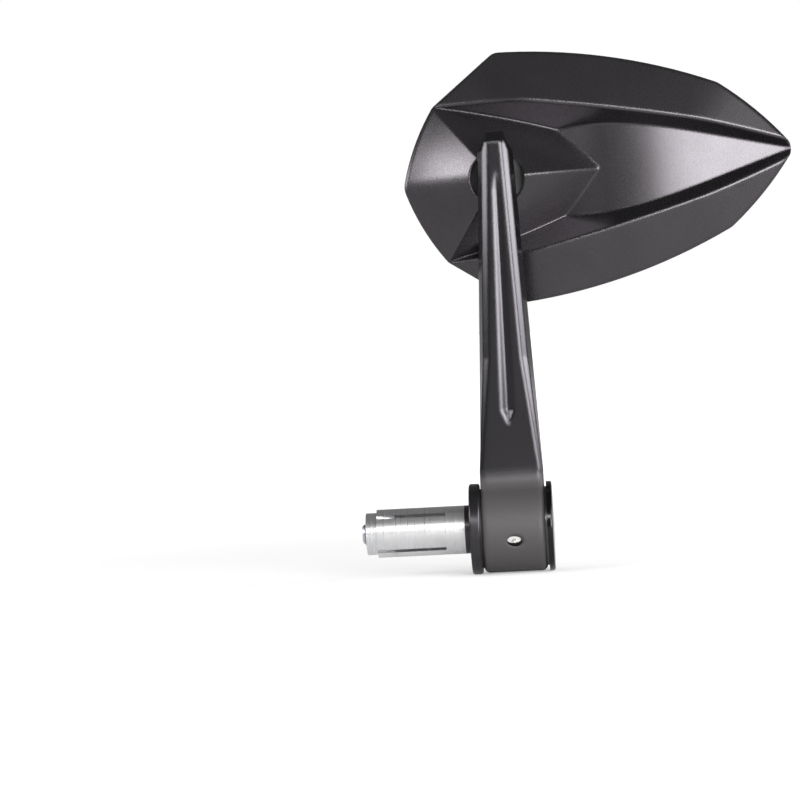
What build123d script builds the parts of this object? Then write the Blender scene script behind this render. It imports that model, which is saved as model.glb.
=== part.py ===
from build123d import *
import math
import os

# A motorcycle bar end mirror. The bar axis is X, pointing outboard. The arm rises along +Z from
# its ring foot, and the head stands on the +Y side of the arm with its glass facing +Y.
# The origin is on the bar axis, at the collar face that meets the end of the handlebar.
# Lengths are in millimetres and angles in degrees.

# Expander inside the handlebar tube
bar_bore = 18.0
sleeve_bar_clearance = 0.2
sleeve_length = 32.0
sleeve_bore = 12.0
slot_count = 4
slot_turn = 45.0
slot_width = 1.6
slot_length = 25.0
taper_length = 9.0
taper_mouth_wall = 1.1
taper_engagement = 6.0
taper_nut_tail = 4.0

# Clamp bolt
bolt_diameter = 8.0
bolt_head_diameter = 13.0
bolt_head_height = 8.0
bolt_socket_across_flats = 6.0
bolt_socket_depth = 4.0
bolt_end_chamfer = 1.0
bolt_hole_clearance = 0.25
bolt_end_projection = 1.5
bolt_washer_thickness = 1.6
bolt_washer_diameter = 14.4

# Barrel
collar_diameter = 33.0
collar_thickness = 3.8
collar_edge = 0.5
barrel_diameter = 22.0
barrel_pilot_length = 2.0
barrel_spigot_length = 4.0
barrel_spigot_play = 0.1
counterbore_diameter = 15.0
bolt_seat_depth = 14.0
lock_groove_width = 4.2
lock_groove_depth = 1.2

# Washers beside the foot
inner_washer_thickness = 0.5
outer_washer_thickness = 0.7
washer_diameter = 28.8
running_play = 0.05

# End cap
cap_diameter = 32.6
cap_thickness = 2.0
cap_edge_radius = 0.7
cap_plug_length = 3.6
cap_plug_play = 0.15
cap_seal_section = 1.6
cap_seal_setback = 1.8

# Arm foot, a ring about the bar axis
foot_width = 23.0
foot_diameter = 32.4
foot_blend_radius = 6.5
foot_edge = 1.0
foot_end_radius = 2.0
foot_top = 20.5

# Arm
ball_height = 127.6
arm_front = 6.0
arm_back_at_foot = 6.5
arm_back_at_top = 3.2
arm_full_section_height = 62.0
arm_shoulder_above_ball = 9.3
arm_shoulder_width = 12.7
arm_bevel_above_ball = 12.7
arm_bevel_width = 8.8
arm_top_above_ball = 16.2
arm_top_width = 6.6
arm_top_bevel = 3.2
arm_chamfer = 2.3
arm_top_chamfer = 1.4
arm_side_lean = 1.5
arm_top_lean = 0.6

# V-groove down the front of the arm
groove_start_below_ball = -2.0
groove_ramp = 7.0
groove_start_width = 2.3
groove_start_depth = 0.5
groove_end_above_bar = 43.0
groove_end_width = 4.7
groove_end_depth = 1.2
groove_tip_length = 5.5

# Set screw in the foot
set_screw_diameter = 4.0
set_screw_slant = 45.0
set_screw_drop = 15.0
set_screw_recess = 0.3
set_screw_play = 0.05
set_screw_tip_gap = 0.2
set_screw_hex = 1.5
set_screw_hex_depth = 1.4

# Ball stud
ball_diameter = 11.0
ball_flat_diameter = 5.0
stud_neck_diameter = 5.8
stud_reach = 15.5
stud_hex_across_flats = 8.0
stud_hex_thickness = 2.4
stud_thread_diameter = 6.0
stud_thread_length = 7.0
stud_hole_extra = 0.5
stud_hole_play = 0.05
stud_boss_diameter = 12.4
stud_boss_height = 2.0
lock_washer_thickness = 1.2
lock_washer_diameter = 10.4
lock_washer_gap = 1.0

# Ball socket liners
seat_play = 0.15
liner_thickness = 1.5
ring_low = 1.2
ring_high = 4.6
cup_high = 1.2
cup_low = 5.6
cup_hole_diameter = 4.4

# Head, measured from the ball axis along its length (u), across it (v) and up from the front
# rim plane (w)
head_tilt = 3.0
tip_reach = 109.8
shoulder_reach = 84.0
shoulder_half_width = 26.8
corner_reach = 3.0
corner_half_width = 46.5
heel_corner_reach = -21.4
heel_corner_half_width = 28.8
heel_reach = -35.0
tip_bow = 1.4
flank_bow = 4.1
heel_bow = 1.5
tip_radius = 5.0
shoulder_radius = 9.0
corner_radius = 5.0
heel_corner_radius = 4.0
heel_radius = 8.0
least_corner_radius = 0.8
rim_height = 9.5
rim_edge = 0.45
rim_edge_run = 1.2
bevel_slope = 22.3
bevel_rise = 8.6
bevel_root = 4.0
shoulder_crease_radius = 60.0
corner_crease_radius = 50.0
crest_radius = 1.0
wall_slope = 55.0
valley_height = 4.5
apex_height = 25.0
ridge_end_reach = 37.6
ridge_end_height = 8.6
facet_radius_to_tip = 220.0
facet_radius_to_heel = 170.0
heel_crease_radius = 25.0
ridge_radius = 0.8

# Crown line of the tongue: share of the tip's reach, and height above the rim
tongue_crown = [
    (1.0, -3.9),
    (0.865, -2.45),
    (0.729, -0.75),
    (0.556, 0.75),
    (0.428, 0.4),
    (0.346, -0.9),
    (0.282, -2.9),
    (0.219, -5.0),
    (0.164, -6.9),
]

# Round recess and socket in the head
recess_diameter = 19.5
recess_floor = 16.2
neck_hole_diameter = 10.4
ball_depth = 10.4
dust_seal_thickness = 0.8
dust_seal_hole = 11.4
dust_seal_play = 0.1

# Socket plate behind the glass
plate_diameter = 25.6
plate_thickness = 1.5
plate_play = 0.2
plate_setback = 0.5
plate_screw_circle = 20.0
plate_screw_count = 3
plate_screw_diameter = 2.5
plate_screw_head = 4.6
plate_screw_length = 5.5
plate_screw_play = 0.05

# Glass
glass_curve_radius = 1200.0
glass_centre_reach = 36.0
glass_setback = 0.2
glass_thickness = 2.0
pad_thickness = 0.8
glass_rim_width = 2.4
glass_edge_play = 0.15
pad_edge_margin = 3.0

# Stations along the bar axis
sleeve_start = -barrel_pilot_length
sleeve_end = sleeve_start - sleeve_length
sleeve_radius = bar_bore / 2 - sleeve_bar_clearance
foot_inboard = collar_thickness + inner_washer_thickness + running_play
foot_outboard = foot_inboard + foot_width
foot_middle = (foot_inboard + foot_outboard) / 2
outer_washer_face = foot_outboard + running_play
cap_face = outer_washer_face + outer_washer_thickness
bolt_seat = cap_face - bolt_seat_depth
journal_bore = barrel_diameter + 2 * running_play

# Places at the top of the arm
arm_span = ball_height + arm_top_above_ball - foot_top
liner_inner = ball_diameter / 2 + seat_play
liner_outer = liner_inner + liner_thickness
socket_radius = liner_outer + seat_play
wall_gain = math.tan(math.radians(wall_slope))
reach_all = 400.0
fine = 0.001


def arm_back(height):
    """Depth of the arm's back face at a height above the bar axis."""
    share = (height - foot_top) / arm_span
    return arm_back_at_foot + (arm_back_at_top - arm_back_at_foot) * share


boss_face = arm_back(ball_height) + stud_boss_height
ball_centre = Vector(foot_middle, boss_face + stud_reach, ball_height)
head_plane = Plane(
    origin=(ball_centre.X, ball_centre.Y + ball_depth, ball_centre.Z),
    x_dir=(math.cos(math.radians(head_tilt)), 0, math.sin(math.radians(head_tilt))),
    z_dir=(0, -1, 0),
)
stud_plane = Plane(origin=ball_centre, x_dir=(1, 0, 0), z_dir=(0, -1, 0))


def turned(stations):
    """Solid turned about the bar axis from (x, radius) stations."""
    profile = make_face(Polyline(*[(x, 0, radius) for x, radius in stations], close=True))
    return revolve(profile, axis=Axis.X)


def ring(inboard, outboard, outer_diameter, inner_diameter):
    """Plain ring about the bar axis."""
    outer = outer_diameter / 2
    inner = inner_diameter / 2
    return turned([(inboard, inner), (outboard, inner), (outboard, outer), (inboard, outer)])


def above(plane):
    """Large block that fills the space above a plane."""
    return plane * Pos(0, 0, reach_all / 2) * Box(reach_all, reach_all, reach_all)


def hex_prism(across_flats, depth):
    """Hexagonal prism standing on the XY plane."""
    return extrude(RegularPolygon(across_flats / 2, 6, major_radius=False), depth)


def bar_end_barrel():
    """Turned core: collar, journal with lock groove, pilot, spigot for the sleeve and bolt seat."""
    hole = bolt_diameter / 2 + bolt_hole_clearance
    spigot = sleeve_bore / 2 - barrel_spigot_play
    collar = collar_diameter / 2
    journal = barrel_diameter / 2
    counterbore = counterbore_diameter / 2
    body = turned(
        [
            (sleeve_start - barrel_spigot_length, hole),
            (sleeve_start - barrel_spigot_length, spigot),
            (sleeve_start, spigot),
            (sleeve_start, sleeve_radius),
            (0, sleeve_radius),
            (0, collar - collar_edge),
            (collar_edge, collar),
            (collar_thickness - collar_edge, collar),
            (collar_thickness, collar - collar_edge),
            (collar_thickness, journal),
            (cap_face - running_play, journal),
            (cap_face - running_play, counterbore),
            (bolt_seat, counterbore),
            (bolt_seat, hole),
        ]
    )
    tip_x = set_screw_tip().X
    outboard_wall = tip_x + set_screw_tip_gap
    groove = ring(
        outboard_wall - lock_groove_width,
        outboard_wall,
        journal_bore,
        barrel_diameter - 2 * lock_groove_depth,
    )
    return body - groove


def expander_sleeve():
    """Slotted sleeve with a tapered mouth at its inner end."""
    inner = sleeve_bore / 2
    mouth = sleeve_radius - taper_mouth_wall
    sleeve = turned(
        [
            (sleeve_start, inner),
            (sleeve_start, sleeve_radius),
            (sleeve_end, sleeve_radius),
            (sleeve_end, mouth),
            (sleeve_end + taper_length, inner),
        ]
    )
    slot = Pos(sleeve_end + slot_length / 2, 0, bar_bore / 2) * Box(slot_length, slot_width, bar_bore)
    for index in range(slot_count):
        sleeve -= Rot(X=slot_turn + index * 360 / slot_count) * slot
    return sleeve


def taper_nut():
    """Cone nut seated in the sleeve's tapered mouth."""
    mouth = sleeve_radius - taper_mouth_wall
    gain = (mouth - sleeve_bore / 2) / taper_length
    hole = bolt_diameter / 2 + running_play
    small_end = sleeve_end + taper_engagement
    small_radius = mouth - gain * taper_engagement - running_play
    large_end = sleeve_end - taper_nut_tail
    return turned(
        [
            (small_end, hole),
            (small_end, small_radius),
            (sleeve_end, mouth - running_play),
            (large_end, mouth - running_play),
            (large_end, hole),
        ]
    )


def clamp_bolt():
    """Socket head bolt from its seat in the barrel to just past the cone nut."""
    shank = bolt_diameter / 2
    head = bolt_head_diameter / 2
    seat = bolt_seat + bolt_washer_thickness
    top = seat + bolt_head_height
    end = sleeve_end - taper_nut_tail - bolt_end_projection
    bolt = turned(
        [
            (end, 0),
            (end, shank - bolt_end_chamfer),
            (end + bolt_end_chamfer, shank),
            (seat, shank),
            (seat, head),
            (top - bolt_end_chamfer / 2, head),
            (top, head - bolt_end_chamfer / 2),
            (top, 0),
        ]
    )
    socket = hex_prism(bolt_socket_across_flats, bolt_socket_depth)
    return bolt - Plane(origin=(top, 0, 0), z_dir=(-1, 0, 0)) * socket


def bolt_washer():
    """Plain washer between the bolt head and its seat."""
    return ring(
        bolt_seat,
        bolt_seat + bolt_washer_thickness,
        bolt_washer_diameter,
        bolt_diameter + 2 * bolt_hole_clearance,
    )


def seal_station():
    """Middle of the seal groove along the bar axis."""
    return cap_face - cap_seal_setback


def end_cap():
    """Thin disc with a rounded edge and a grooved plug that fits the counterbore."""
    outer = cap_diameter / 2
    plug = counterbore_diameter / 2 - cap_plug_play
    groove_floor = counterbore_diameter / 2 - cap_seal_section
    half = cap_seal_section / 2 + running_play
    outer_face = cap_face + cap_thickness
    plug_end = cap_face - cap_plug_length
    disc = turned([(cap_face, 0), (cap_face, outer), (outer_face, outer), (outer_face, 0)])
    rim = disc.edges().filter_by(GeomType.CIRCLE).sort_by(Axis.X)[-1]
    disc = fillet(rim, cap_edge_radius)
    stem = turned([(plug_end, 0), (plug_end, plug), (cap_face, plug), (cap_face, 0)])
    groove = ring(seal_station() - half, seal_station() + half, counterbore_diameter, 2 * groove_floor)
    return disc + stem - groove


def cap_seal_ring():
    """Rubber ring between the plug's groove and the counterbore."""
    section = cap_seal_section / 2 - running_play
    middle = counterbore_diameter / 2 - cap_seal_section / 2
    return Pos(seal_station(), 0, 0) * Rot(Y=90) * Torus(middle, section)


def inner_washer():
    """Friction washer on the collar."""
    return ring(collar_thickness, collar_thickness + inner_washer_thickness, washer_diameter, journal_bore)


def outer_washer():
    """Stainless washer under the cap."""
    return ring(outer_washer_face, cap_face, washer_diameter, journal_bore)


def set_screw_axis():
    """Point on the foot's surface and inward direction of the slanted set screw."""
    drop = math.radians(set_screw_drop)
    slant = math.radians(set_screw_slant)
    outward = Vector(0, -math.cos(drop), -math.sin(drop))
    mouth = Vector(foot_middle, 0, 0) + outward * (foot_diameter / 2)
    inward = outward * -math.cos(slant) + Vector(math.sin(slant), 0, 0)
    return mouth, inward


def set_screw_tip():
    """Point of the set screw, just above the floor of the lock groove."""
    mouth, inward = set_screw_axis()
    fall = foot_diameter / 2 - barrel_diameter / 2 + lock_groove_depth - set_screw_tip_gap
    return mouth + inward * (fall / math.cos(math.radians(set_screw_slant)))


def arm_set_screw():
    """Cone point set screw with a hexagon socket, its outer end dressed to the round of the foot."""
    mouth, inward = set_screw_axis()
    tip = set_screw_tip()
    radius = set_screw_diameter / 2
    mouth_height = (tip - mouth).length
    length = mouth_height + set_screw_diameter
    seat = Plane(origin=tip, z_dir=inward * -1)
    stations = [(0, 0, 0), (radius, 0, radius), (radius, 0, length), (0, 0, length)]
    screw = revolve(make_face(Polyline(*stations, close=True)), axis=Axis.Z)
    socket_floor = mouth_height - set_screw_hex_depth
    socket = Pos(0, 0, socket_floor) * hex_prism(set_screw_hex, length - socket_floor)
    round_end = ring(foot_inboard, foot_outboard, foot_diameter - 2 * set_screw_recess, 0)
    return (seat * (screw - socket)) & round_end


def arm_section(height, width, front, chamfer, lean):
    """Cross section of the arm: flat front, front chamfers, leaning sides and a flat back."""
    half = width / 2
    back = arm_back(height)
    outline = [
        (half - foot_edge, back),
        (half, back - foot_edge),
        (half - lean, chamfer - front),
        (half - lean - chamfer, -front),
    ]
    mirrored = [(-x, y) for x, y in reversed(outline)]
    return Pos(foot_middle, 0, height) * make_face(Polyline(*outline, *mirrored, close=True))


def arm_bar():
    """Tapered bar from the foot to the bevelled top."""
    shoulder = ball_height + arm_shoulder_above_ball
    bevel = ball_height + arm_bevel_above_ball
    top = ball_height + arm_top_above_ball
    share = (arm_full_section_height - foot_top) / (shoulder - foot_top)
    full_width = foot_width + (arm_shoulder_width - foot_width) * share
    sections = [
        arm_section(foot_top, foot_width, arm_front, foot_edge, 0),
        arm_section(arm_full_section_height, full_width, arm_front, arm_chamfer, arm_side_lean),
        arm_section(shoulder, arm_shoulder_width, arm_front, arm_chamfer, arm_side_lean),
        arm_section(bevel, arm_bevel_width, arm_front, arm_top_chamfer, arm_top_lean),
        arm_section(top, arm_top_width, arm_front - arm_top_bevel, arm_top_chamfer / 2, arm_top_lean / 2),
    ]
    return loft(sections, ruled=True)


def arm_foot():
    """Ring foot, blended into the root of the arm."""
    depth = arm_front + arm_back_at_foot
    root = Pos((arm_back_at_foot - arm_front) / 2, foot_top / 2) * Rectangle(depth, foot_top)
    profile = Circle(foot_diameter / 2) + root
    corners = profile.vertices().filter_by(lambda v: abs(v.Y - foot_top) > foot_edge and v.Y > 0)
    profile = fillet(corners, foot_blend_radius)
    block = Pos(foot_inboard, 0, 0) * extrude(Plane.YZ * profile, foot_width)
    ends = block.faces().filter_by(Axis.X)
    return fillet(ends.edges().filter_by(lambda e: e.center().Z < foot_top - running_play), foot_end_radius)


def arm_groove():
    """V-shaped groove that widens down the arm and ends in a point."""

    def cut(height, width, depth):
        """Triangle across the groove, standing proud of the arm's front."""
        rise = depth
        spread = width / 2 * (depth + rise) / depth
        corners = [(-spread, -arm_front - rise), (spread, -arm_front - rise), (0, depth - arm_front)]
        return Pos(foot_middle, 0, height) * make_face(Polyline(*corners, close=True))

    start = ball_height - groove_start_below_ball
    upper = cut(start - groove_ramp, groove_start_width, groove_start_depth)
    lower = cut(groove_end_above_bar, groove_end_width, groove_end_depth)
    run_in = Vertex(foot_middle, -arm_front - groove_start_depth, start + groove_ramp)
    end = groove_end_above_bar - 2 * groove_tip_length
    run_out = Vertex(foot_middle, -arm_front - groove_end_depth, end)
    spans = [[run_in, upper], [upper, lower], [lower, run_out]]
    return Solid() + [loft(span, ruled=True) for span in spans]


def mirror_arm():
    """Arm with ring foot, stud boss, groove and the holes for its screws."""
    hole_depth = stud_thread_length + stud_hole_extra
    boss_height = stud_boss_height + foot_edge
    boss_plane = Plane(origin=(foot_middle, boss_face, ball_height), z_dir=(0, -1, 0))
    boss = boss_plane * Pos(0, 0, boss_height / 2) * Cylinder(stud_boss_diameter / 2, boss_height)
    stud_hole = boss_plane * Pos(0, 0, hole_depth / 2) * Cylinder(
        stud_thread_diameter / 2 + stud_hole_play, hole_depth
    )
    mouth, inward = set_screw_axis()
    screw_hole = Plane(origin=mouth, z_dir=inward) * Cylinder(
        set_screw_diameter / 2 + set_screw_play, foot_diameter / 2 + barrel_diameter / 2
    )
    bore = ring(foot_inboard, foot_outboard, journal_bore, 0)
    return arm_foot() + arm_bar() + boss - arm_groove() - bore - stud_hole - screw_hole


def stud_lock_washer():
    """Split washer between the stud's hexagon and the boss."""
    outer = Cylinder(lock_washer_diameter / 2, lock_washer_thickness)
    inner = Cylinder(stud_thread_diameter / 2 + stud_hole_play, lock_washer_thickness)
    opening = Box(lock_washer_diameter, lock_washer_gap, lock_washer_thickness)
    washer = outer - inner - Pos(lock_washer_diameter / 2, 0, 0) * opening
    return stud_plane * Pos(0, 0, stud_reach - lock_washer_thickness / 2) * washer


def ball_stud():
    """Ball with a flat, neck, hexagon and threaded end, along the stud's axis."""
    radius = ball_diameter / 2
    flat = math.sqrt(radius**2 - (ball_flat_diameter / 2) ** 2)
    ball = Sphere(radius) - Pos(0, 0, -flat - radius / 2) * Box(ball_diameter, ball_diameter, radius)
    hex_top = stud_reach - lock_washer_thickness
    hex_base = hex_top - stud_hex_thickness
    neck = Pos(0, 0, hex_top / 2) * Cylinder(stud_neck_diameter / 2, hex_top)
    hexagon = Pos(0, 0, hex_base) * hex_prism(stud_hex_across_flats, stud_hex_thickness)
    thread_length = lock_washer_thickness + stud_thread_length
    thread = Pos(0, 0, hex_top + thread_length / 2) * Cylinder(stud_thread_diameter / 2, thread_length)
    return stud_plane * (ball + neck + hexagon + thread)


def liner(low, high):
    """Spherical shell about the ball's centre between two heights on the stud's axis."""
    shell = Sphere(liner_outer) - Sphere(liner_inner)
    slab = Pos(0, 0, (low + high) / 2) * Box(2 * ball_diameter, 2 * ball_diameter, high - low)
    return shell & slab


def ball_seat_ring():
    """Nylon ring on the stud side of the ball."""
    return stud_plane * liner(ring_low, ring_high)


def pressure_cup():
    """Nylon cup on the glass side of the ball."""
    hole = Pos(0, 0, -cup_low) * Cylinder(cup_hole_diameter / 2, cup_low)
    return stud_plane * (liner(-cup_low, -cup_high) - hole)


def outline_corners():
    """Corners of the head's outline anticlockwise from the tip: place, bow of the next edge, radius."""
    flank = [
        ((shoulder_reach, shoulder_half_width), flank_bow, shoulder_radius),
        ((corner_reach, corner_half_width), 0, corner_radius),
        ((heel_corner_reach, heel_corner_half_width), heel_bow, heel_corner_radius),
    ]
    heel = ((heel_reach, 0), heel_bow, heel_radius)
    next_bows = [0, flank_bow, tip_bow]
    back = [((u, -v), bow, radius) for ((u, v), _, radius), bow in zip(reversed(flank), next_bows)]
    return [((tip_reach, 0), tip_bow, tip_radius), *flank, heel, *back]


def head_outline(inset, rounded):
    """Outline of the head as a face, drawn in from the rim by an inset."""
    corners = outline_corners()
    edges = []
    for (start, bow, _), (end, _, _) in zip(corners, corners[1:] + corners[:1]):
        edges.append(SagittaArc(start, end, -bow) if bow else Line(start, end))
    face = make_face(edges)
    if inset:
        face = offset(face, -inset, kind=Kind.INTERSECTION)
    if rounded:
        for (u, v), _, radius in corners:
            nearest = face.vertices().sort_by_distance((u, v, 0))[0]
            face = fillet(nearest, max(radius - inset, least_corner_radius))
    return face


def wall_plane(side):
    """Inner wall of the relief on one side, from the heel corner at the rim to the tongue's low tip."""
    reach = tip_reach - heel_corner_reach
    run = math.hypot(reach, heel_corner_half_width)
    lean = math.asin(-tongue_crown[0][1] / (run * wall_gain))
    up_u = (heel_corner_half_width * math.cos(lean) - reach * math.sin(lean)) / run
    up_v = (reach * math.cos(lean) + heel_corner_half_width * math.sin(lean)) / run * side
    heel_corner = (heel_corner_reach, heel_corner_half_width * side, rim_height)
    return Plane(origin=heel_corner, z_dir=(-wall_gain * up_u, -wall_gain * up_v, 1))


def bevel():
    """Sloped bevel about the head, carried out past the rim, with its side corners softened."""
    outset = (rim_height - bevel_root) / math.tan(math.radians(bevel_slope))
    height = rim_height + bevel_rise - bevel_root
    plan = head_outline(-outset, False)
    for side in (1, -1):
        corner = plan.vertices().sort_by_distance((corner_reach, side * corner_half_width, 0))[0]
        plan = fillet(corner, corner_crease_radius)
        shoulder = plan.vertices().sort_by_distance((shoulder_reach, side * shoulder_half_width, 0))[0]
        plan = fillet(shoulder, shoulder_crease_radius)
    return Pos(0, 0, bevel_root) * extrude(plan, height, taper=90 - bevel_slope)


def flank(body, side):
    """Part of the bevel outside one inner wall, with its crest rounded."""
    wall = wall_plane(side)
    wedge = (body - above(wall)).solids()[0]

    def on_crest(edge):
        """True for an edge that lies on the inner wall, above the bevel's root."""
        points = [edge @ 0, edge @ 0.25, edge @ 0.5, edge @ 0.75, edge @ 1]
        flat = all(abs((point - wall.origin).dot(wall.z_dir)) < fine for point in points)
        return flat and (edge @ 0.5).Z > bevel_root + fine

    return fillet(wedge.edges().filter_by(on_crest), crest_radius)


def ball_through(first, second, third, radius):
    """Large ball below three points, with all three on its surface."""
    along = Vector(second) - Vector(first)
    across = Vector(third) - Vector(first)
    normal = along.cross(across)
    inward = normal.normalized() * (-1 if normal.Z > 0 else 1)
    lean = normal.cross(along) * across.dot(across) + across.cross(normal) * along.dot(along)
    middle = Vector(first) + lean * (1 / (2 * normal.dot(normal)))
    drop = math.sqrt(radius**2 - (middle - Vector(first)).length ** 2)
    return Pos(*(middle + inward * drop)) * Sphere(radius)


def ball_recess():
    """Round recess at the apex, about the ball's axis."""
    return Pos(0, 0, recess_floor + apex_height / 2) * Cylinder(recess_diameter / 2, apex_height)


def faceted_boss():
    """Boss of four faintly domed facets about the ball recess, with a soft crease to the heel."""
    apex = (0, 0, apex_height)
    ridge_end = (ridge_end_reach, 0, ridge_end_height)
    heel = (heel_reach, 0, rim_height)
    boss = Pos(0, 0, apex_height / 2) * Box(2 * tip_reach, 3 * corner_half_width, apex_height)
    for side in (1, -1):
        heel_corner = (heel_corner_reach, side * heel_corner_half_width, rim_height)
        boss &= ball_through(apex, heel_corner, ridge_end, facet_radius_to_tip)
        boss &= ball_through(apex, heel_corner, heel, facet_radius_to_heel)
    boss -= ball_recess()
    creases = boss.edges().filter_by(lambda e: abs((e @ 0.5).Y) < fine and (e @ 0.5).X < heel_reach / 3)
    return fillet(creases.sort_by(SortBy.LENGTH)[-1], heel_crease_radius)


def tongue():
    """Raised floor of the relief, bowed along its length and rolling down to the boss."""
    stations = [(share * tip_reach, 0, rim_height + rise) for share, rise in tongue_crown]
    crown = Spline(*stations)
    foot = stations[-1]
    base = Polyline(foot, (foot[0], 0, 0), (tip_reach, 0, 0), stations[0])
    profile = make_face([*crown.edges(), *base.edges()])
    strip = extrude(profile, heel_corner_half_width, both=True)
    return strip & above(wall_plane(1)) & above(wall_plane(-1))


def head_blank():
    """Outside of the head: valley floor, bevelled flanks, tongue and boss, cut to the outline."""
    sides = bevel()
    floor = extrude(head_outline(-rim_height, False), valley_height)
    blank = faceted_boss() + floor + flank(sides, 1) + flank(sides, -1) + tongue()
    outer = head_outline(0, True)
    inner = head_outline(rim_edge_run, True)
    edge_start = rim_height - rim_edge
    edge = loft([Pos(0, 0, edge_start) * outer, Pos(0, 0, edge_start + rim_edge_run) * inner], ruled=True)
    return blank & (extrude(outer, edge_start) + edge + extrude(inner, apex_height))


def glass_sphere(depth):
    """Large ball whose front face lies a depth behind the front of the curved glass."""
    centre = glass_curve_radius + glass_setback
    return Pos(glass_centre_reach, 0, centre) * Rot(Y=-90) * Sphere(glass_curve_radius - depth)


def on_ridge(edge):
    """True for the boss's three sharp ridges, from the recess out to the relief."""
    span = Vector((edge @ 1).X - (edge @ 0).X, (edge @ 1).Y - (edge @ 0).Y).length
    return span > recess_diameter and abs((edge @ 1).Z - (edge @ 0).Z) > apex_height / 4


def mirror_housing():
    """Head with its glass recess, plate pocket, ball socket and round recess."""
    bed = glass_thickness + pad_thickness
    glass_recess = extrude(head_outline(glass_rim_width, True), rim_height) - glass_sphere(bed)
    pocket_top = plate_bottom() + plate_thickness
    pocket = Pos(0, 0, pocket_top / 2) * Cylinder(plate_diameter / 2 + plate_play, pocket_top)
    bore_height = ball_depth - pocket_top
    bore = Pos(0, 0, pocket_top + bore_height / 2) * Cylinder(socket_radius, bore_height)
    neck_hole = Pos(0, 0, apex_height / 2 + ball_depth) * Cylinder(neck_hole_diameter / 2, apex_height)
    housing = head_blank() - glass_recess - pocket - bore - Pos(0, 0, ball_depth) * Sphere(socket_radius)
    housing = housing - neck_hole - ball_recess() - plate_screw_holes()
    ridges = housing.edges().filter_by(GeomType.CIRCLE).filter_by(on_ridge)
    return head_plane * fillet(ridges, ridge_radius)


def plate_bottom():
    """Front face of the socket plate above the rim plane."""
    sag = glass_centre_reach**2 / (2 * glass_curve_radius)
    return glass_setback + glass_thickness + pad_thickness + sag + plate_setback


def plate_screw_places():
    """Places of the plate screws about the ball axis."""
    return PolarLocations(plate_screw_circle / 2, plate_screw_count, start_angle=90)


def plate_screw(play):
    """Countersunk screw, head down on the plate's front face."""
    head = plate_screw_head / 2 + play
    shank = plate_screw_diameter / 2 + play
    length = plate_screw_length + play
    low = plate_bottom()
    profile = Polyline(
        (0, 0, low),
        (head, 0, low),
        (shank, 0, low + head - shank),
        (shank, 0, low + length),
        (0, 0, low + length),
        close=True,
    )
    return revolve(make_face(profile), axis=Axis.Z)


def plate_screw_holes():
    """Holes for the plate screws."""
    return Compound([place * plate_screw(plate_screw_play) for place in plate_screw_places()])


def socket_plate():
    """Plate with a spherical seat that holds the cup against the ball."""
    low = plate_bottom()
    plate = Pos(0, 0, low + plate_thickness / 2) * Cylinder(plate_diameter / 2, plate_thickness)
    seat = Pos(0, 0, ball_depth) * Sphere(socket_radius)
    return head_plane * (plate - seat - plate_screw_holes())


def socket_plate_screws():
    """Three screws that fix the plate."""
    return head_plane * Compound([place * plate_screw(0) for place in plate_screw_places()])


def stud_dust_seal():
    """Rubber ring on the recess floor round the stud."""
    outer = Cylinder(recess_diameter / 2 - dust_seal_play, dust_seal_thickness)
    inner = Cylinder(dust_seal_hole / 2, dust_seal_thickness)
    return head_plane * Pos(0, 0, recess_floor + dust_seal_thickness / 2) * (outer - inner)


def mirror_glass():
    """Convex glass in the recess."""
    outline = head_outline(glass_rim_width + glass_edge_play, True)
    blank = extrude(outline, rim_height) & glass_sphere(0)
    return head_plane * (blank - glass_sphere(glass_thickness))


def glass_pad():
    """Adhesive foam between the glass and the bed of its recess."""
    outline = head_outline(glass_rim_width + pad_edge_margin, True)
    blank = extrude(outline, rim_height) & glass_sphere(glass_thickness)
    return head_plane * (blank - glass_sphere(glass_thickness + pad_thickness))


nodes = {
    "bar_end_barrel": bar_end_barrel,
    "expander_sleeve": expander_sleeve,
    "taper_nut": taper_nut,
    "clamp_bolt": clamp_bolt,
    "bolt_washer": bolt_washer,
    "end_cap": end_cap,
    "cap_seal_ring": cap_seal_ring,
    "inner_washer": inner_washer,
    "outer_washer": outer_washer,
    "mirror_arm": mirror_arm,
    "arm_set_screw": arm_set_screw,
    "ball_stud": ball_stud,
    "stud_lock_washer": stud_lock_washer,
    "ball_seat_ring": ball_seat_ring,
    "pressure_cup": pressure_cup,
    "mirror_housing": mirror_housing,
    "socket_plate": socket_plate,
    "socket_plate_screws": socket_plate_screws,
    "stud_dust_seal": stud_dust_seal,
    "glass_pad": glass_pad,
    "mirror_glass": mirror_glass,
}

os.makedirs("parts", exist_ok=True)
for name, make in nodes.items():
    export_step(make(), f"parts/{name}.step")
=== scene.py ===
# %% [markdown]
# # A motorcycle bar end mirror, dressed for the camera
# The mirror's solids are already made: a turned bar end with its expander, a machined arm on a
# ring foot, and a faceted head with a convex glass. This lesson loads them as a fixed frame, then
# gives each piece the finish that the real one has, and sets a camera and a plain studio round it.
# Lengths are in metres. The bar axis is X, the arm rises along Z, and the glass faces +Y.

# %% Load the frame
import math

import bpy
import numpy as np
from mathutils import Matrix, Vector


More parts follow.
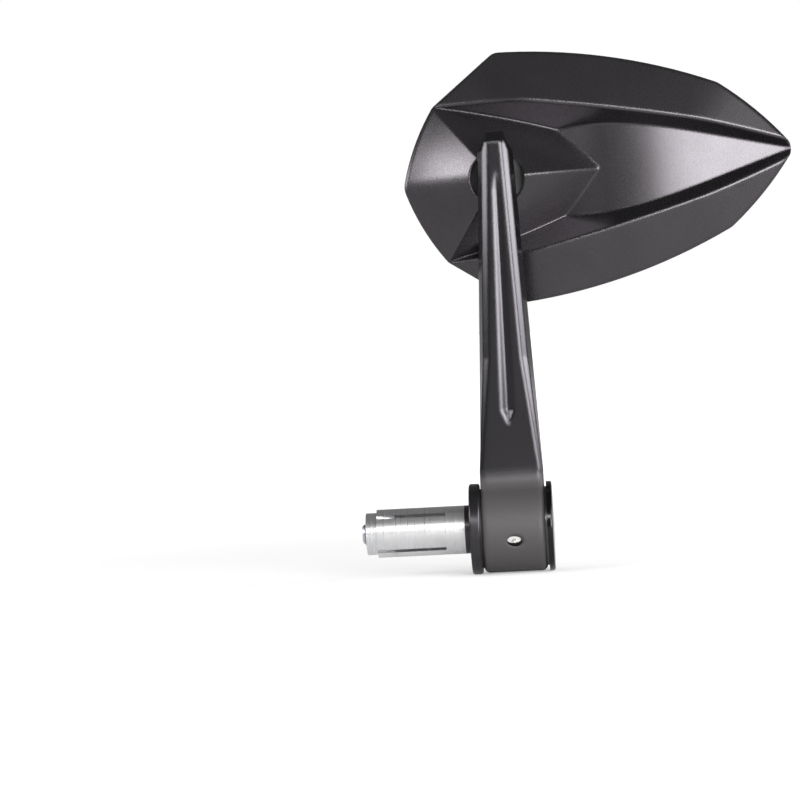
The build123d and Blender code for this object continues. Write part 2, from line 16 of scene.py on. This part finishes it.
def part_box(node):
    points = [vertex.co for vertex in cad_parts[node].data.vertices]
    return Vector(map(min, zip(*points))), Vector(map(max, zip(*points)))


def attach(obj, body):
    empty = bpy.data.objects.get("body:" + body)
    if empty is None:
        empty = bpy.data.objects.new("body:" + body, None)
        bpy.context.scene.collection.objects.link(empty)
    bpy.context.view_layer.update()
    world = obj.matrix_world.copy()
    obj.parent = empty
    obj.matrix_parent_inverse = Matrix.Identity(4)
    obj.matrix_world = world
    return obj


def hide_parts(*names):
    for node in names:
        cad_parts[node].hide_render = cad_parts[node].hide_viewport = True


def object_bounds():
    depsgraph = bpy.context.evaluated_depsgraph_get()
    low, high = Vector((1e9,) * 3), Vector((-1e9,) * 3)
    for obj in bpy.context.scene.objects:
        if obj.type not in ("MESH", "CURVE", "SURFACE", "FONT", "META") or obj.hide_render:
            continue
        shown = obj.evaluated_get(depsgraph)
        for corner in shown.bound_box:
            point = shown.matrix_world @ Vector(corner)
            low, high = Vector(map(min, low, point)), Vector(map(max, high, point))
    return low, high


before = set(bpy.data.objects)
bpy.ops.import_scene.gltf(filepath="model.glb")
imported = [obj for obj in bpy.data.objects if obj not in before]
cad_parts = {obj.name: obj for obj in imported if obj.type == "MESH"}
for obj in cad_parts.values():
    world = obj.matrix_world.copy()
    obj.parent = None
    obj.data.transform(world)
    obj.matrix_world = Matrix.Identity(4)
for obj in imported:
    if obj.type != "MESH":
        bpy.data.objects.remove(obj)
cad_box = [list(corner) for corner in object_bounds()]
mm = 0.001
print("pieces in the frame:", len(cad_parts), "box:", cad_box)

# %% [markdown]
# ## The camera
# The photographer stood well back, level with the arm and a touch outboard, and the mirror leans a
# little in the frame. A long lens keeps the arm's sides straight. One known point fixes the
# framing: the foot's middle on the bar axis goes to a pixel of the picture, and the scale of the
# picture at that distance gives the lens its angle.

# %% Camera
picture_side = 800
foot_low, foot_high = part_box("mirror_arm")
foot_middle = Vector(((foot_low.x + foot_high.x) / 2, 0, 0))
foot_pixel = (514.5, 527.0)
metres_per_pixel = 0.3643 * mm
camera_distance = 1.3
camera_azimuth = math.radians(3.19)
camera_elevation = math.radians(1.39)
camera_roll = math.radians(-3.04)


def towards(azimuth, elevation):
    """Unit vector out from the mirror: azimuth 0 is -Y, growing to +X, and elevation is up."""
    level = math.cos(elevation)
    return Vector((math.sin(azimuth) * level, -math.cos(azimuth) * level, math.sin(elevation)))


towards_camera = towards(camera_azimuth, camera_elevation)
turn = (-towards_camera).to_track_quat("-Z", "Y").to_matrix().to_4x4()
turn = turn @ Matrix.Rotation(camera_roll, 4, "Z")
right = turn.col[0].to_3d()
up = turn.col[1].to_3d()
across = (picture_side / 2 - foot_pixel[0]) * metres_per_pixel
down = (picture_side / 2 - foot_pixel[1]) * metres_per_pixel
picture_middle = foot_middle + right * across - up * down

lens = bpy.data.cameras.new("long_lens")
lens.sensor_fit = "HORIZONTAL"
lens.angle = 2 * math.atan(picture_side / 2 * metres_per_pixel / camera_distance)
lens.clip_start = 0.05
camera = bpy.data.objects.new("camera", lens)
camera.matrix_world = Matrix.Translation(picture_middle + towards_camera * camera_distance) @ turn
bpy.context.scene.collection.objects.link(camera)
bpy.context.scene.camera = camera
print("camera at", tuple(round(v, 3) for v in camera.location))

# %% [markdown]
# ## Backdrop
# Satin black metal is drawn by what it reflects. The backdrop behind the mirror is white, and the
# room behind the photographer and overhead is dim, so facets that look at the room stay dark. A
# plain white world would be simpler, but it turns the arm's sides and the rim grey. So the camera
# and clear glass see white all round, and metal sees it only straight behind the mirror, where a
# direction's Y share is near one, and the dim room elsewhere. Plain surfaces get the room's light.

# %% World
room_light = 0.45
room_seen = 0.18
backdrop_white = 1.0
backdrop_edge = 0.93
backdrop_full = 0.99

world = bpy.data.worlds.new("studio")
bpy.context.scene.world = world
world.use_nodes = True
sky = world.node_tree
sky.nodes.clear()


def sky_node(kind, **inputs):
    """Add a node to the world and fill or join its inputs by name."""
    made = sky.nodes.new(kind)
    for name, value in inputs.items():
        socket = made.inputs[name.replace("_", " ")]
        if isinstance(value, bpy.types.NodeSocket):
            sky.links.new(value, socket)
        else:
            socket.default_value = value
    return made


rays = sky_node("ShaderNodeLightPath").outputs
direction = sky_node("ShaderNodeTexCoord").outputs["Generated"]
along = sky_node("ShaderNodeSeparateXYZ", Vector=direction).outputs
backdrop = sky_node(
    "ShaderNodeMapRange", Value=along["Y"], From_Min=backdrop_edge, From_Max=backdrop_full,
    To_Min=room_seen, To_Max=backdrop_white)
backdrop.interpolation_type = "SMOOTHSTEP"
in_metal = sky_node(
    "ShaderNodeMix", Factor=rays["Is Glossy Ray"], A=room_light, B=backdrop.outputs["Result"])
straight = sky_node("ShaderNodeMath", Value=rays["Is Camera Ray"])
straight.operation = "MAXIMUM"
sky.links.new(rays["Is Transmission Ray"], straight.inputs[1])
seen = sky_node(
    "ShaderNodeMix", Factor=straight.outputs["Value"], A=in_metal.outputs["Result"], B=backdrop_white)
glow = sky_node("ShaderNodeBackground", Color=(1, 1, 1, 1), Strength=seen.outputs["Result"])
sky_node("ShaderNodeOutputWorld", Surface=glow.outputs["Background"])
print("world nodes:", len(sky.nodes))

# %% [markdown]
# ## Lamps
# Softboxes light the chamfers and the facets that face them. Each is placed by its direction from
# the head and is given the brightness that the metal should see in it. A lamp's power is that
# brightness times pi times its area. A grid on each box keeps its light in a cone, which makes the
# middle of the box brighter for the same power, so the power is divided by that gain.
#
# The front right strip fills the tongue, and the crest strip above the camera draws the bright
# lines along the rounded crests. The two right boxes stand one above the other for the arm's right
# chamfer. The left boxes have tight grids, so that they reach the groove and the left facet alone.
# The upper right box and the side strip are weak and only lift the facets that look to the right.

# %% Lamps
head_middle = Vector((0.03, 0.005, 0.125))


def softbox(name, azimuth, elevation, distance, width, height, brightness, grid=42):
    """A rectangular lamp in a direction from the head, with its grid's half angle, all in degrees."""
    out = towards(math.radians(azimuth), math.radians(elevation))
    half_angle = math.radians(grid)
    gain = math.tan(half_angle) / (math.tan(half_angle) - half_angle)
    data = bpy.data.lights.new(name, "AREA")
    data.shape = "RECTANGLE"
    data.size = width
    data.size_y = height
    data.spread = 2 * half_angle
    data.energy = brightness * math.pi * width * height / gain
    lamp = bpy.data.objects.new(name, data)
    facing = (-out).to_track_quat("-Z", "Y").to_matrix().to_4x4()
    lamp.matrix_world = Matrix.Translation(head_middle + out * distance) @ facing
    lamp.visible_camera = False
    bpy.context.scene.collection.objects.link(lamp)
    print(name, "power", round(data.energy, 2))


softbox("front_right_strip", 26, 4, 0.9, 0.60, 0.36, 15.0)
softbox("right_box", 88, 8, 0.8, 0.36, 0.26, 13.0)
softbox("right_low_box", 88, -9, 0.8, 0.36, 0.20, 5.0)
softbox("left_box", -94, 10, 0.8, 0.34, 0.22, 10.0, grid=28)
softbox("upper_left_box", -50, 15.5, 0.8, 0.36, 0.16, 16.0, grid=26)
softbox("upper_right_box", 36, 30, 0.9, 0.30, 0.20, 2.5)
softbox("side_strip", 45, 2, 0.9, 0.24, 0.30, 4.0)
softbox("crest_strip", 4, 20, 1.0, 0.36, 0.12, 15.0)

# %% [markdown]
# ## Floor
# The floor is a wide sheet under the foot, made as a grid of nine points and four squares. Its
# paper comes after the finishes.

# %% Floor
floor_level = cad_box[0][2]
floor_reach = 12.0
steps = np.linspace(-floor_reach, floor_reach, 3)
grid_x, grid_y = np.meshgrid(steps, steps)
floor_points = np.column_stack([grid_x.ravel(), grid_y.ravel(), np.full(grid_x.size, floor_level)])
first_square = np.array([0, 1, 4, 3])
square_starts = (0, 1, 3, 4)
floor_faces = [(first_square + start).tolist() for start in square_starts]
floor_mesh = bpy.data.meshes.new("floor")
floor_mesh.from_pydata(floor_points.tolist(), [], floor_faces)
floor = bpy.data.objects.new("floor", floor_mesh)
bpy.context.scene.collection.objects.link(floor)
print("floor at", round(floor_level, 4))

# %% [markdown]
# ## Finishes
# Each finish is a small node tree on one shader. This helper makes the material and adds nodes with
# their inputs in one call: an input is either a plain value or the output of another node. Patterns
# read the object's own place, so they stay put when the piece moves. A mix node has sockets for
# numbers and for colours under the same names, so the colour ones are picked by their places.

# %% Finish helper
mix_colours = (6, 7)
mix_colour_result = 2
edge_samples = 8


class Finish:
    """A procedural material with short ways to add and join its nodes."""

    def __init__(self, name, **values):
        self.material = bpy.data.materials.new(name)
        self.material.use_nodes = True
        self.tree = self.material.node_tree
        self.shader = self.tree.nodes["Principled BSDF"]
        for socket, value in values.items():
            self.set(self.shader, socket.replace("_", " "), value)
        spot = self.node("ShaderNodeTexCoord")
        self.place = spot.outputs["Object"]
        self.facing = spot.outputs["Normal"]

    def set(self, node, socket, value):
        """Give a node's input a plain value, or join it to another node's output."""
        if isinstance(value, bpy.types.NodeSocket):
            self.tree.links.new(value, node.inputs[socket])
        else:
            node.inputs[socket].default_value = value

    def node(self, kind, inputs=(), **settings):
        """Add a node, with its settings and inputs."""
        made = self.tree.nodes.new(kind)
        for name, value in settings.items():
            setattr(made, name, value)
        for socket, value in dict(inputs).items():
            self.set(made, socket, value)
        return made

    def math(self, operation, first, second=0.0):
        """Join two values by an operation."""
        made = self.node("ShaderNodeMath", {0: first, 1: second}, operation=operation)
        return made.outputs["Value"]

    def noise(self, scale, detail=3.0, stretch=(1, 1, 1)):
        """Noise over the object's own place, with a number of waves in a metre along each axis."""
        mapped = self.node("ShaderNodeMapping", {"Vector": self.place, "Scale": stretch})
        grain = self.node("ShaderNodeTexNoise", {
            "Vector": mapped.outputs["Vector"], "Scale": scale, "Detail": detail})
        return grain.outputs["Fac"]

    def spread(self, value, low, high, start=0.3, end=0.7, smooth=False):
        """Map a value from one range to another."""
        mapped = self.node("ShaderNodeMapRange", {
            "Value": value, "From Min": start, "From Max": end, "To Min": low, "To Max": high})
        if smooth:
            mapped.interpolation_type = "SMOOTHSTEP"
        return mapped.outputs["Result"]

    def blend(self, factor, first, second):
        """Blend two colours; each is a triple or another node's output."""
        mixed = self.node("ShaderNodeMix", {"Factor": factor}, data_type="RGBA")
        for socket, colour in zip(mix_colours, (first, second)):
            self.set(mixed, socket, colour if isinstance(colour, bpy.types.NodeSocket) else (*colour, 1))
        return mixed.outputs[mix_colour_result]

    def shade(self, factor, colour, amount):
        """Vary a colour by a share either way as a factor goes from 0 to 1."""
        low, high = 1 - amount, 1 + amount
        return self.blend(factor, [low * c for c in colour], [high * c for c in colour])

    def relief(self, height, depth, broken_edge=0.0):
        """Give the shader a bump from a height of 0 to 1, with a depth and a width of soft edge."""
        bump = self.node("ShaderNodeBump", {"Height": height, "Distance": depth})
        if broken_edge:
            rounded = self.node("ShaderNodeBevel", {"Radius": broken_edge}, samples=edge_samples)
            self.set(bump, "Normal", rounded.outputs["Normal"])
        self.set(self.shader, "Normal", bump.outputs["Normal"])


# %% [markdown]
# ### Black anodised aluminium
# The head, arm and barrel are machined, blasted fine and anodised black. The dye lets about a
# twelfth of the light back, with a faint warm purple cast. The blasting leaves a grain of a few
# tenths of a millimetre that breaks up the sheen. Tumbling also softens the edges. Rounding them in
# the mesh would change the solids, so the shader's bevel turns the normals near an edge instead.

# %% Anodised finishes
anodised_black = (0.078, 0.073, 0.079)
arm_dye = (0.055, 0.052, 0.057)
blasted_waves = 3200
dye_waves = 45
dye_variation = 0.07
sheen_variation = 0.04


def anodised(name, colour, gloss, grain_depth, broken_edge):
    """Black anodised metal: clouded colour, fine blasted grain, a varied sheen and tumbled edges."""
    finish = Finish(name, Metallic=0.92)
    grain = finish.noise(blasted_waves, 4.0)
    cloud = finish.spread(finish.noise(dye_waves), 0, 1)
    finish.set(finish.shader, "Base Color", finish.shade(cloud, colour, dye_variation))
    sheen = finish.spread(grain, gloss - sheen_variation, gloss + sheen_variation)
    finish.set(finish.shader, "Roughness", sheen)
    finish.relief(grain, grain_depth, broken_edge)
    return finish


head_black = anodised("head_black", anodised_black, 0.27, 6e-7, 1.5 * mm)
arm_black = anodised("arm_black", arm_dye, 0.20, 3e-7, 1.8 * mm)
barrel_black = anodised("barrel_black", arm_dye, 0.30, 1e-6, 0.3 * mm)
print("anodised finishes:", [finish.material.name for finish in (head_black, arm_black, barrel_black)])

# %% [markdown]
# ### The duller foot
# The arm was polished longer than the head, so it is glossier, but its ring foot keeps a duller
# tumbled skin that lights up evenly. Its colour is also lighter than the arm's, painted light that
# stands in for that even light. The two could be two materials on two sets of faces. Here the
# height on the arm fades one into the other, as polishing does, so there is no line between them.

# %% Foot of the arm
foot_skin_full = 15 * mm
foot_skin_end = 23 * mm
# Lighter than the arm's dye: painted light for the even light the foot catches.
foot_dye_painted_light = (0.072, 0.067, 0.070)
tumbled_waves = 900
polished_metal = 0.97
dull_metal = 0.30

height = arm_black.node("ShaderNodeSeparateXYZ", {"Vector": arm_black.place}).outputs["Z"]
in_foot = arm_black.spread(height, 1, 0, foot_skin_full, foot_skin_end, smooth=True)
tumbled = arm_black.noise(tumbled_waves, 4.0)
gloss_above = arm_black.shader.inputs["Roughness"].links[0].from_socket
gloss_of_foot = arm_black.spread(tumbled, 0.52, 0.66)
mixed_gloss = arm_black.node("ShaderNodeMix", {"Factor": in_foot, "A": gloss_above, "B": gloss_of_foot})
arm_black.set(arm_black.shader, "Roughness", mixed_gloss.outputs["Result"])
colour_above = arm_black.shader.inputs["Base Color"].links[0].from_socket
# The foot's lighter colour is painted light over its own tumbled tone.
foot_colour_painted_light = arm_black.shade(tumbled, foot_dye_painted_light, 0.06)
arm_black.set(arm_black.shader, "Base Color", arm_black.blend(in_foot, colour_above, foot_colour_painted_light))
arm_black.set(arm_black.shader, "Metallic", arm_black.spread(in_foot, polished_metal, dull_metal, 0, 1))
print("foot skin fades between", foot_skin_full, "and", foot_skin_end)

# %% [markdown]
# ### Turned metal
# A lathe leaves fine rings. On a cylinder they lie along the bar axis, and on an end face they lie
# along the radius, so a noise of one value, the axis place plus the radius, draws both. The sleeve,
# the nut, the cap and the washers are all turned, with different colour, gloss and ring depth.

# %% Turned finishes
tarnish_waves = 160


def turned(name, colour, gloss, ring_pitch, ring_depth):
    """Turned metal: rings of a pitch and depth about the bar axis, and a faint cloud."""
    finish = Finish(name, Metallic=1.0)
    apart = finish.node("ShaderNodeSeparateXYZ", {"Vector": finish.place}).outputs
    square = finish.math("ADD", finish.math("MULTIPLY", apart["Y"], apart["Y"]),
                         finish.math("MULTIPLY", apart["Z"], apart["Z"]))
    along_tool = finish.math("ADD", apart["X"], finish.math("SQRT", square))
    rings = finish.node("ShaderNodeTexNoise", {
        "W": along_tool, "Scale": 1 / ring_pitch, "Detail": 3.0}, noise_dimensions="1D").outputs["Fac"]
    cloud = finish.spread(finish.noise(tarnish_waves), 0, 1)
    finish.set(finish.shader, "Base Color", finish.shade(cloud, colour, 0.06))
    finish.set(finish.shader, "Roughness", finish.spread(rings, gloss - 0.06, gloss + 0.08))
    finish.relief(rings, ring_depth)
    return finish


bright_steel = turned("bright_steel", (0.66, 0.65, 0.63), 0.22, 0.25 * mm, 3e-6)
bare_aluminium = turned("bare_aluminium", (0.74, 0.74, 0.75), 0.32, 0.5 * mm, 8e-6)
cap_black = turned("cap_black", (0.034, 0.032, 0.035), 0.14, 0.35 * mm, 1e-6)
# The outer washer's steel is painted dark grey: painted shade for the gap between the foot and the cap.
washer_painted_shade_steel = turned("washer_painted_shade_steel", (0.110, 0.106, 0.108), 0.30, 0.25 * mm, 2e-6)
turned_finishes = (bright_steel, bare_aluminium, cap_black, washer_painted_shade_steel)
print("turned finishes:", [finish.material.name for finish in turned_finishes])

# %% [markdown]
# ### The set screw's end
# The screw that locks the foot comes out at a slant, so its end is dressed to the round of the foot.
# Its steel colour is kept only in a lens shaped like the highlight on it, with fine file scratches.
# Round the lens the colour is painted near black: painted shade for the gap in the hole and the
# unlit rest of the screw's end. How far a point lies from the lens's middle, as a share of the
# lens's half width and half height, tells the two apart.

# %% Screw end finish
screw_slant = math.radians(15)
lens_lift = 0.6 * mm
lens_middle = (foot_middle.x, foot_low.z * math.sin(screw_slant) + lens_lift)
lens_half = (2.6 * mm, 1.25 * mm)
file_waves = 2500


def lens_and_painted_shade_end(name, bright, dark):
    """Steel lens with fine scratches, shaped like a highlight, and painted shade round it."""
    finish = Finish(name, Metallic=1.0)
    share = finish.node("ShaderNodeMapping", {
        "Vector": finish.place,
        "Scale": (1 / lens_half[0], 0, 1 / lens_half[1]),
        "Location": (-lens_middle[0] / lens_half[0], 0, -lens_middle[1] / lens_half[1])})
    reach = finish.node("ShaderNodeVectorMath", {0: share.outputs["Vector"]}, operation="LENGTH")
    in_lens = finish.spread(reach.outputs["Value"], 1, 0, 0.88, 1.02, smooth=True)
    scratches = finish.noise(file_waves, stretch=(1, 0.2, 0.2))
    polished = finish.shade(scratches, bright, 0.05)
    # Painted shade: outside the lens the steel colour is replaced by a near black one.
    finish.set(finish.shader, "Base Color", finish.blend(in_lens, dark, polished))
    finish.set(finish.shader, "Roughness", finish.spread(scratches, 0.22, 0.34))
    return finish


# The near black second colour is the painted shade round the screw end's lens.
screw_end_painted_shade = lens_and_painted_shade_end("screw_end_painted_shade", (0.92, 0.91, 0.90), (0.020, 0.019, 0.019))
print("screw end finish:", screw_end_painted_shade.material.name)

# %% [markdown]
# ### Plated steel
# The bolt and its washer are zinc plated. Zinc grows in small crystals of two near greys, under a
# mottled blue-grey film. Cells of a Voronoi pattern make the crystals, and a slow noise the film.

# %% Plated steel
crystals_per_metre = 900
film_waves = 120


def plated(name, colour, film):
    """Zinc plate: crystals of two near greys, a coloured film in patches, and a soft sheen."""
    finish = Finish(name, Metallic=1.0)
    crystals = finish.node("ShaderNodeTexVoronoi", {"Vector": finish.place, "Scale": crystals_per_metre})
    speck = finish.node("ShaderNodeSeparateXYZ", {"Vector": crystals.outputs["Color"]}).outputs["X"]
    patch = finish.spread(finish.noise(film_waves), 0, 1)
    finish.set(finish.shader, "Base Color", finish.blend(patch, finish.shade(speck, colour, 0.08), film))
    finish.set(finish.shader, "Roughness", finish.spread(speck, 0.30, 0.42, 0, 1))
    finish.relief(speck, 2e-6)
    return finish


zinc = plated("zinc_steel", (0.58, 0.59, 0.61), (0.52, 0.55, 0.60))
print("plated finish:", zinc.material.name)

# %% [markdown]
# ### Nylon and rubber
# The inner washer and the ball's liners are moulded nylon, with a fine spark-eroded skin from the
# mould. The seals are rubber with a dusty bloom. Both are one recipe with other numbers: a fine noise
# for the skin and a slow one for the paler patches.

# %% Moulded finishes
bloom_waves = 90


def moulded(name, colour, gloss, skin_scale, skin_depth, bloom):
    """Moulded plastic or rubber: a fine skin, with a pale bloom in patches."""
    finish = Finish(name)
    skin = finish.noise(skin_scale, 5.0)
    patch = finish.spread(finish.noise(bloom_waves), 0, 1)
    pale = [c + bloom for c in colour]
    finish.set(finish.shader, "Base Color", finish.blend(patch, colour, pale))
    finish.set(finish.shader, "Roughness", finish.spread(skin, gloss - 0.08, gloss + 0.08))
    finish.relief(skin, skin_depth)
    return finish


washer_nylon = moulded("washer_nylon", (0.018, 0.018, 0.019), 0.50, 2400, 8e-6, 0.006)
liner_nylon = moulded("liner_nylon", (0.76, 0.74, 0.68), 0.42, 1800, 6e-6, 0.03)
seal_rubber = moulded("seal_rubber", (0.017, 0.017, 0.018), 0.62, 1500, 1.2e-5, 0.010)
print("moulded finishes:", [finish.material.name for finish in (washer_nylon, liner_nylon, seal_rubber)])

# %% [markdown]
# ### Foam
# The pad behind the glass is closed cell foam, so its skin shows small round cells. The distance to
# the nearest cell's middle gives both the dips and their darker colour.

# %% Foam finish
cells_per_metre = 3000


def foam(name, colour):
    """Closed cell foam: round cells of about a third of a millimetre, darker where they dip."""
    finish = Finish(name, Roughness=0.85)
    voronoi = finish.node("ShaderNodeTexVoronoi", {"Vector": finish.place, "Scale": cells_per_metre})
    cells = voronoi.outputs["Distance"]
    raised = finish.spread(cells, 1, 0, 0, 0.6)
    finish.set(finish.shader, "Base Color", finish.shade(raised, colour, 0.35))
    finish.relief(cells, 6e-5)
    return finish


pad_foam = foam("pad_foam", (0.09, 0.09, 0.095))
print("foam finish:", pad_foam.material.name)

# %% [markdown]
# ### Mirror glass
# The glass is silvered and faces +Y. Its front is a clean mirror, its ground edge is matt and
# greenish, and its back carries grey paint. The way the surface faces tells the three apart.

# %% Mirror finish
silver_colour = (0.86, 0.88, 0.89)
ground_edge = (0.30, 0.38, 0.35)
back_paint = (0.12, 0.12, 0.125)


def silvered(name):
    """Mirror on the front, ground edge, painted back, told apart by how far the surface faces +Y."""
    finish = Finish(name)
    front = finish.node("ShaderNodeSeparateXYZ", {"Vector": finish.facing}).outputs["Y"]
    on_front = finish.spread(front, 0, 1, 0.80, 0.90)
    on_back = finish.spread(front, 1, 0, -0.90, -0.80)
    haze = finish.noise(70, 4.0)
    paint = finish.noise(1400, 4.0)
    edge_or_back = finish.blend(on_back, ground_edge, back_paint)
    silver = finish.shade(finish.spread(haze, 0, 1), silver_colour, 0.012)
    finish.set(finish.shader, "Base Color", finish.blend(on_front, edge_or_back, silver))
    finish.set(finish.shader, "Metallic", on_front)
    rough_edge = finish.spread(paint, 0.45, 0.60)
    clean = finish.spread(haze, 0.012, 0.030)
    gloss = finish.node("ShaderNodeMix", {"Factor": on_front, "A": rough_edge, "B": clean})
    finish.set(finish.shader, "Roughness", gloss.outputs["Result"])
    return finish


mirror = silvered("mirror_silver")
print("mirror finish:", mirror.material.name)

# %% [markdown]
# ## The clamp bolt's thread
# The frame's bolt is plain, because a thread is too fine for it. A real bolt's thread is rolled: dies
# press a spiral V into the blank. Here the whole bolt is one surface over two numbers, a station
# along its outline and an angle about the bar axis. Between the neck and the end the radius follows a
# V that moves one pitch along for each turn. At the head's socket the radius is that of a hexagon.

# %% Threaded bolt
bolt_low, bolt_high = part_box("clamp_bolt")
bolt_radius = 4.0 * mm
bolt_head_radius = 6.5 * mm
bolt_head_height = 8.0 * mm
bolt_edge = 0.5 * mm
socket_half = 3.0 * mm
socket_depth = 4.0 * mm
thread_pitch = 1.25 * mm
thread_depth = 0.65 * mm
plain_neck = 14.0 * mm
end_chamfer = 1.0 * mm
rows_per_pitch = 8
fade_turns = 2
sharp_edge = math.radians(28)


def hexagon_reach(angle, half_across):
    """Distance from a hexagon's middle to its side: half across flats over the cosine of the turn."""
    turn_in_side = np.mod(angle + math.pi / 6, math.pi / 3) - math.pi / 6
    return half_across / np.cos(turn_in_side)


def threaded_bolt(rings=48):
    """Points of the bolt: rows are stations of its outline, columns are angles about the bar axis.

    On the shank the radius is the crest less a depth, where the depth is a V of the place along the
    bolt less the angle's share of one pitch. It fades out at the neck and is cut by the end's cone.
    """
    angle = np.linspace(0, 2 * math.pi, rings, endpoint=False)[None, :]
    seat = bolt_high.x - bolt_head_height
    count = int((seat - plain_neck - bolt_low.x) / thread_pitch * rows_per_pitch)
    shank = np.linspace(bolt_low.x, seat - plain_neck, count)[:, None]
    wave = np.abs(np.mod(shank / thread_pitch - angle / (2 * math.pi), 1.0) * 2 - 1)
    fade = np.clip((seat - plain_neck - shank) / (fade_turns * thread_pitch), 0, 1)
    crest = bolt_radius - thread_depth * wave * fade
    cone = bolt_radius - end_chamfer + (shank - bolt_low.x)
    along_shank = np.broadcast_to(shank, crest.shape)
    across_shank = np.minimum(crest, cone)
    top = bolt_high.x
    outline = [
        (seat, bolt_radius),
        (seat, bolt_head_radius),
        (top - bolt_edge, bolt_head_radius),
        (top, bolt_head_radius - bolt_edge),
    ]
    head_along = np.array([x for x, _ in outline])[:, None] + 0 * angle
    head_across = np.array([r for _, r in outline])[:, None] + 0 * angle
    socket = hexagon_reach(angle, socket_half)
    hole_along = np.array([top, top - socket_depth])[:, None] + 0 * angle
    hole_across = np.vstack([socket, socket])
    along_x = np.vstack([along_shank, head_along, hole_along])
    across = np.vstack([across_shank, head_across, hole_across])
    return np.stack([along_x, across * np.cos(angle), across * np.sin(angle)], axis=-1)


def closed_mesh(name, points):
    """Mesh of a grid of points that closes round its columns, with a fan at its first and last row."""
    rows, columns, _ = points.shape
    index = np.arange(rows * columns).reshape(rows, columns)
    after = np.roll(index, -1, axis=1)
    quads = np.stack([index[:-1], after[:-1], after[1:], index[1:]], axis=-1).reshape(-1, 4)
    ends = np.vstack([points[0].mean(axis=0), points[-1].mean(axis=0)])
    first = np.column_stack([np.full(columns, rows * columns), after[0], index[0]])
    last = np.column_stack([np.full(columns, rows * columns + 1), index[-1], after[-1]])
    vertices = np.vstack([points.reshape(-1, 3), ends])
    mesh = bpy.data.meshes.new(name)
    mesh.from_pydata(vertices.tolist(), [], quads.tolist() + first.tolist() + last.tolist())
    mesh.polygons.foreach_set("use_smooth", np.ones(len(mesh.polygons), dtype=bool))
    mesh.set_sharp_from_angle(angle=sharp_edge)
    mesh.update()
    return mesh


bolt_mesh = closed_mesh("rolled_thread_bolt", threaded_bolt())
threaded = bpy.data.objects.new("rolled_thread_bolt", bolt_mesh)
bpy.context.scene.collection.objects.link(threaded)
bolt_mesh.materials.append(zinc.material)
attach(threaded, "bar_end")
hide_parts("clamp_bolt")
print("bolt faces:", len(bolt_mesh.polygons))

# %% [markdown]
# ### Putting the finishes on
# Each slot of the frame gets its finish. The head and the arm share the barrel's slot but not its
# gloss, the set screw's end is steel only in a lens shaped like its highlight, with painted shade
# round it, and the outer washer is painted dark as painted shade for the gap it sits in, so these
# four are named on their own.

# %% Assign
by_slot = {
    "black_anodised": barrel_black,
    "gloss_black": cap_black,
    "bare_aluminium": bare_aluminium,
    "stainless": bright_steel,
    "zinc_steel": zinc,
    "black_nylon": washer_nylon,
    "natural_nylon": liner_nylon,
    "black_rubber": seal_rubber,
    "adhesive_foam": pad_foam,
    "mirror_glass": mirror,
}
by_piece = {
    "mirror_housing": head_black,
    "mirror_arm": arm_black,
    "arm_set_screw": screw_end_painted_shade,
    "outer_washer": washer_painted_shade_steel,
}
for name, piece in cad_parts.items():
    slot = piece.material_slots[0]
    slot.material = by_piece.get(name, by_slot[slot.material.name]).material
print("dressed:", len(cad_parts))

# %% [markdown]
# ## The floor's paper
# The floor is pale paper. To reach white under plain light it glows for the camera and through clear
# glass, little near the foot, so that the soft shadow stays, and fully further out, where it meets
# the white backdrop. Metal sees a fifth of that glow, or the undersides would lose their black.

# %% Floor paper
paper_grey = (0.72, 0.72, 0.72)
fibre_waves = 400
glow_in_metal = 0.2
glow_near = 0.38
glow_far = 1.0
sweep_start = 0.10
sweep_end = 0.70
paper = Finish("floor_paper", Roughness=0.9)
fibre = paper.spread(paper.noise(fibre_waves, 4.0), 0, 1)
paper.set(paper.shader, "Base Color", paper.shade(fibre, paper_grey, 0.01))
path = paper.node("ShaderNodeLightPath").outputs
from_foot = paper.node("ShaderNodeVectorMath", {0: paper.place}, operation="LENGTH").outputs["Value"]
sweep = paper.spread(from_foot, glow_near, glow_far, sweep_start, sweep_end, smooth=True)
watched = paper.math("MAXIMUM", path["Is Camera Ray"], path["Is Transmission Ray"])
reflected = paper.math("MULTIPLY", path["Is Glossy Ray"], glow_in_metal)
lift = paper.math("MULTIPLY", paper.math("MAXIMUM", watched, reflected), sweep)
paper.set(paper.shader, "Emission Color", (1, 1, 1, 1))
paper.set(paper.shader, "Emission Strength", lift)
floor_mesh.materials.append(paper.material)
print("floor finish:", paper.material.name)

# %% View transform
bpy.context.scene.view_settings.view_transform = "Standard"
